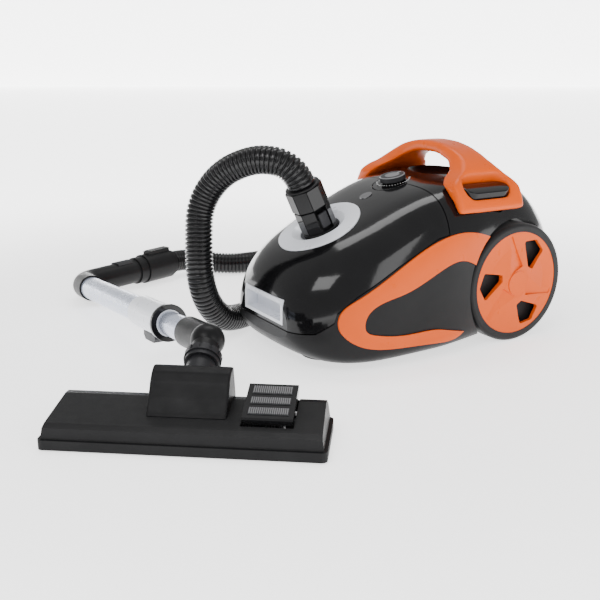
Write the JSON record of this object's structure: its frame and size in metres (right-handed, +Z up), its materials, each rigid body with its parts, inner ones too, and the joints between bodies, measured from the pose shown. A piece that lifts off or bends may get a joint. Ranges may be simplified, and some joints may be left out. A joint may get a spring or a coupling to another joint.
{
  "type": "canister vacuum cleaner",
  "caption": "Wheeled canister vacuum cleaner with arched carrying handle, corrugated hose, telescopic wand and a wide floor nozzle.",
  "frame": {"origin": "bottom centre of the whole machine without its loose hose, on the floor", "axes": "+Z up; -Y is the canister's front, where the hose plugs in; +X is the canister's left side as seen facing forward along -Y"},
  "size_m": [0.7684, 0.7875, 0.265],
  "materials": {
    "gloss_black": "polished black moulded plastic",
    "matte_black": "fine textured black plastic",
    "dark_grey": "fine textured dark grey plastic",
    "orange": "satin orange plastic",
    "silver_plastic": "silver painted plastic",
    "tyre_rubber": "smooth black rubber",
    "seal_rubber": "soft black rubber",
    "tube_steel": "satin silver tube",
    "steel": "machined steel",
    "motor_metal": "pressed aluminium",
    "hose_plastic": "corrugated black plastic",
    "paper": "filter paper",
    "filter_fleece": "white filter fleece",
    "bristle": "black nylon bristle",
    "clear_window": "clear moulded window",
    "signal_red": "red plastic flag",
    "board_green": "circuit board"
  },
  "bodies": {
    "canister": {"base_tray": "matte_black", "rear_housing": "gloss_black", "side_trims": "orange", "carry_handle": "orange", "bulkhead_grille": "dark_grey", "motor_filter": "filter_fleece", "motor_housing": "motor_metal", "motor_stator": "steel", "exhaust_grille": "dark_grey", "exhaust_filter": "filter_fleece", "cord_outlet_bush": "seal_rubber", "power_switch": "dark_grey", "speed_control_board": "board_green", "dust_bag": "paper", "bag_holder": "dark_grey", "hose_floor": "hose_plastic"},
    "lid": {"lid_shell": "gloss_black", "inlet_ring": "silver_plastic", "inlet_seal": "seal_rubber", "bag_indicator_window": "clear_window", "hose_swivel_cuff": "gloss_black", "hose_arch": "hose_plastic"},
    "latch": {"lid_latch": "silver_plastic"},
    "bag_flag": {"bag_indicator_flag": "signal_red"},
    "connector": {"hose_connector": "gloss_black"},
    "snap_left": {"snap_button_left": "dark_grey"},
    "snap_right": {"snap_button_right": "dark_grey"},
    "knob": {"power_knob": "dark_grey"},
    "power_pedal_body": {"power_pedal": "matte_black"},
    "rewind_pedal_body": {"rewind_pedal": "matte_black"},
    "reel": {"cord_reel": "dark_grey"},
    "rotor": {"armature": "steel", "impeller": "motor_metal"},
    "rear_wheel_left": {"wheel_left": "tyre_rubber", "wheel_cap_left": "orange"},
    "rear_wheel_right": {"wheel_right": "tyre_rubber", "wheel_cap_right": "orange"},
    "caster_left": {"caster_fork_left": "dark_grey"},
    "caster_right": {"caster_fork_right": "dark_grey"},
    "caster_roller_left": {"caster_wheel_left": "dark_grey"},
    "caster_roller_right": {"caster_wheel_right": "dark_grey"},
    "wand_upper": {"outer_tube": "tube_steel", "lock_sleeve": "silver_plastic", "hand_grip": "matte_black", "hose_sleeve": "matte_black", "hose_tail": "hose_plastic"},
    "wand_lower": {"inner_tube": "tube_steel", "elbow": "matte_black"},
    "tube_lock": {"lock_button": "dark_grey"},
    "air_regulator": {"air_slider": "dark_grey"},
    "neck_body": {"neck": "dark_grey"},
    "nozzle": {"nozzle_shell": "matte_black", "sole_plate": "steel", "bumper_band": "seal_rubber", "saddle_cover": "matte_black", "nozzle_pins": "steel"},
    "brush_carrier": {"brush_strips": "bristle"},
    "brush_rocker": {"brush_pedal": "gloss_black"},
    "nozzle_roller_left": {"roller_left": "dark_grey"},
    "nozzle_roller_right": {"roller_right": "dark_grey"}
  },
  "joints": [
    {"name": "lid_hinge", "type": "hinge", "parent": "canister", "child": "lid", "pos_m": [0.0778, 0.14536, 0.2088], "axis": [-1, 0, 0], "range_deg": [0, 55]},
    {"name": "latch_pull", "type": "hinge", "parent": "lid", "child": "latch", "pos_m": [0.0778, -0.05224, 0.085], "axis": [-1, 0, 0], "range_deg": [0, 8], "stiffness_Nm_per_rad": 1.2, "springref_deg": -5.16},
    {"name": "bag_flag_rise", "type": "slide", "parent": "lid", "child": "bag_flag", "axis": [0, 0, 1], "range_m": [0, 0.004]},
    {"name": "hose_connector_swivel", "type": "hinge", "parent": "lid", "child": "connector", "pos_m": [0.0778, 0.02776, 0.1615], "axis": [0, -0.4226, 0.9063], "continuous": true},
    {"name": "snap_left_press", "type": "slide", "parent": "connector", "child": "snap_left", "axis": [-1, 0, 0], "range_m": [0, 0.0014], "stiffness_N_per_m": 1500, "springref_m": -0.001},
    {"name": "snap_right_press", "type": "slide", "parent": "connector", "child": "snap_right", "axis": [1, 0, 0], "range_m": [0, 0.0014], "stiffness_N_per_m": 1500, "springref_m": -0.001},
    {"name": "power_knob_turn", "type": "hinge", "parent": "canister", "child": "knob", "pos_m": [0.0778, 0.14376, 0.2108], "axis": [0, -0.225, 0.9744], "range_deg": [0, 270]},
    {"name": "power_pedal_press", "type": "slide", "parent": "canister", "child": "power_pedal_body", "axis": [-0.3304, 0, -0.9439], "range_m": [0, 0.005], "stiffness_N_per_m": 1200, "springref_m": -0.004},
    {"name": "rewind_pedal_press", "type": "slide", "parent": "canister", "child": "rewind_pedal_body", "axis": [0.3304, 0, -0.9439], "range_m": [0, 0.005], "stiffness_N_per_m": 1200, "springref_m": -0.004},
    {"name": "cord_reel_spin", "type": "hinge", "parent": "canister", "child": "reel", "pos_m": [0.0778, 0.28576, 0.069], "axis": [0, 0, 1], "continuous": true},
    {"name": "rotor_spin", "type": "hinge", "parent": "canister", "child": "rotor", "pos_m": [0.0778, 0.21776, 0.137], "axis": [0, 1, 0], "continuous": true},
    {"name": "wheel_left_spin", "type": "hinge", "parent": "canister", "child": "rear_wheel_left", "pos_m": [0.1798, 0.26576, 0.08], "axis": [1, 0, 0], "continuous": true},
    {"name": "wheel_right_spin", "type": "hinge", "parent": "canister", "child": "rear_wheel_right", "pos_m": [-0.0242, 0.26576, 0.08], "axis": [1, 0, 0], "continuous": true},
    {"name": "caster_left_swivel", "type": "hinge", "parent": "canister", "child": "caster_left", "pos_m": [0.1218, 0.00976, 0.031], "axis": [0, 0, 1], "continuous": true},
    {"name": "caster_left_roll", "type": "hinge", "parent": "caster_left", "child": "caster_roller_left", "pos_m": [0.1218, 0.00276, 0.013], "axis": [1, 0, 0], "continuous": true},
    {"name": "caster_right_swivel", "type": "hinge", "parent": "canister", "child": "caster_right", "pos_m": [0.0338, 0.00976, 0.031], "axis": [0, 0, 1], "continuous": true},
    {"name": "caster_right_roll", "type": "hinge", "parent": "caster_right", "child": "caster_roller_right", "pos_m": [0.0338, 0.00276, 0.013], "axis": [1, 0, 0], "continuous": true},
    {"name": "wand_lay_slide", "type": "slide", "parent": "canister", "child": "wand_upper", "axis": [-1, 0, 0], "range_m": [0, 0.1]},
    {"name": "wand_telescope", "type": "slide", "parent": "wand_upper", "child": "wand_lower", "axis": [0.9948, -0.0247, 0.0985], "range_m": [0, 0.24]},
    {"name": "tube_lock_press", "type": "slide", "parent": "wand_upper", "child": "tube_lock", "axis": [-0.0985, 0.0024, 0.9951], "range_m": [0, 0.002], "stiffness_N_per_m": 1500, "springref_m": -0.0015},
    {"name": "air_regulator_slide", "type": "slide", "parent": "wand_upper", "child": "air_regulator", "axis": [-0.3032, 0.9527, 0.0184], "range_m": [0, 0.008]},
    {"name": "neck_swivel", "type": "hinge", "parent": "wand_lower", "child": "neck_body", "pos_m": [0.18363, -0.18111, 0.07242], "axis": [-0.7258, 0.5428, 0.4226], "range_deg": [-60, 60]},
    {"name": "nozzle_tilt", "type": "hinge", "parent": "neck_body", "child": "nozzle", "pos_m": [0.25476, -0.2343, 0.031], "axis": [0.5989, 0.8008, 0], "range_deg": [-12, 12]},
    {"name": "brush_pedal_press", "type": "hinge", "parent": "nozzle", "child": "brush_rocker", "pos_m": [0.30686, -0.16963, 0.0295], "axis": [0.5989, 0.8008, 0], "range_deg": [-9, 0]},
    {"name": "brush_lower", "type": "slide", "parent": "nozzle", "child": "brush_carrier", "axis": [0, 0, -1], "range_m": [0, 0.003]},
    {"name": "nozzle_roller_left_spin", "type": "hinge", "parent": "nozzle", "child": "nozzle_roller_left", "pos_m": [0.30142, -0.13933, 0.007], "axis": [0.5989, 0.8008, 0], "continuous": true},
    {"name": "nozzle_roller_right_spin", "type": "hinge", "parent": "nozzle", "child": "nozzle_roller_right", "pos_m": [0.17686, -0.30591, 0.007], "axis": [0.5989, 0.8008, 0], "continuous": true}
  ],
  "couplings": [
    {"joint": "brush_lower", "follows": "brush_pedal_press", "m_per_rad": -0.019099}
  ]
}
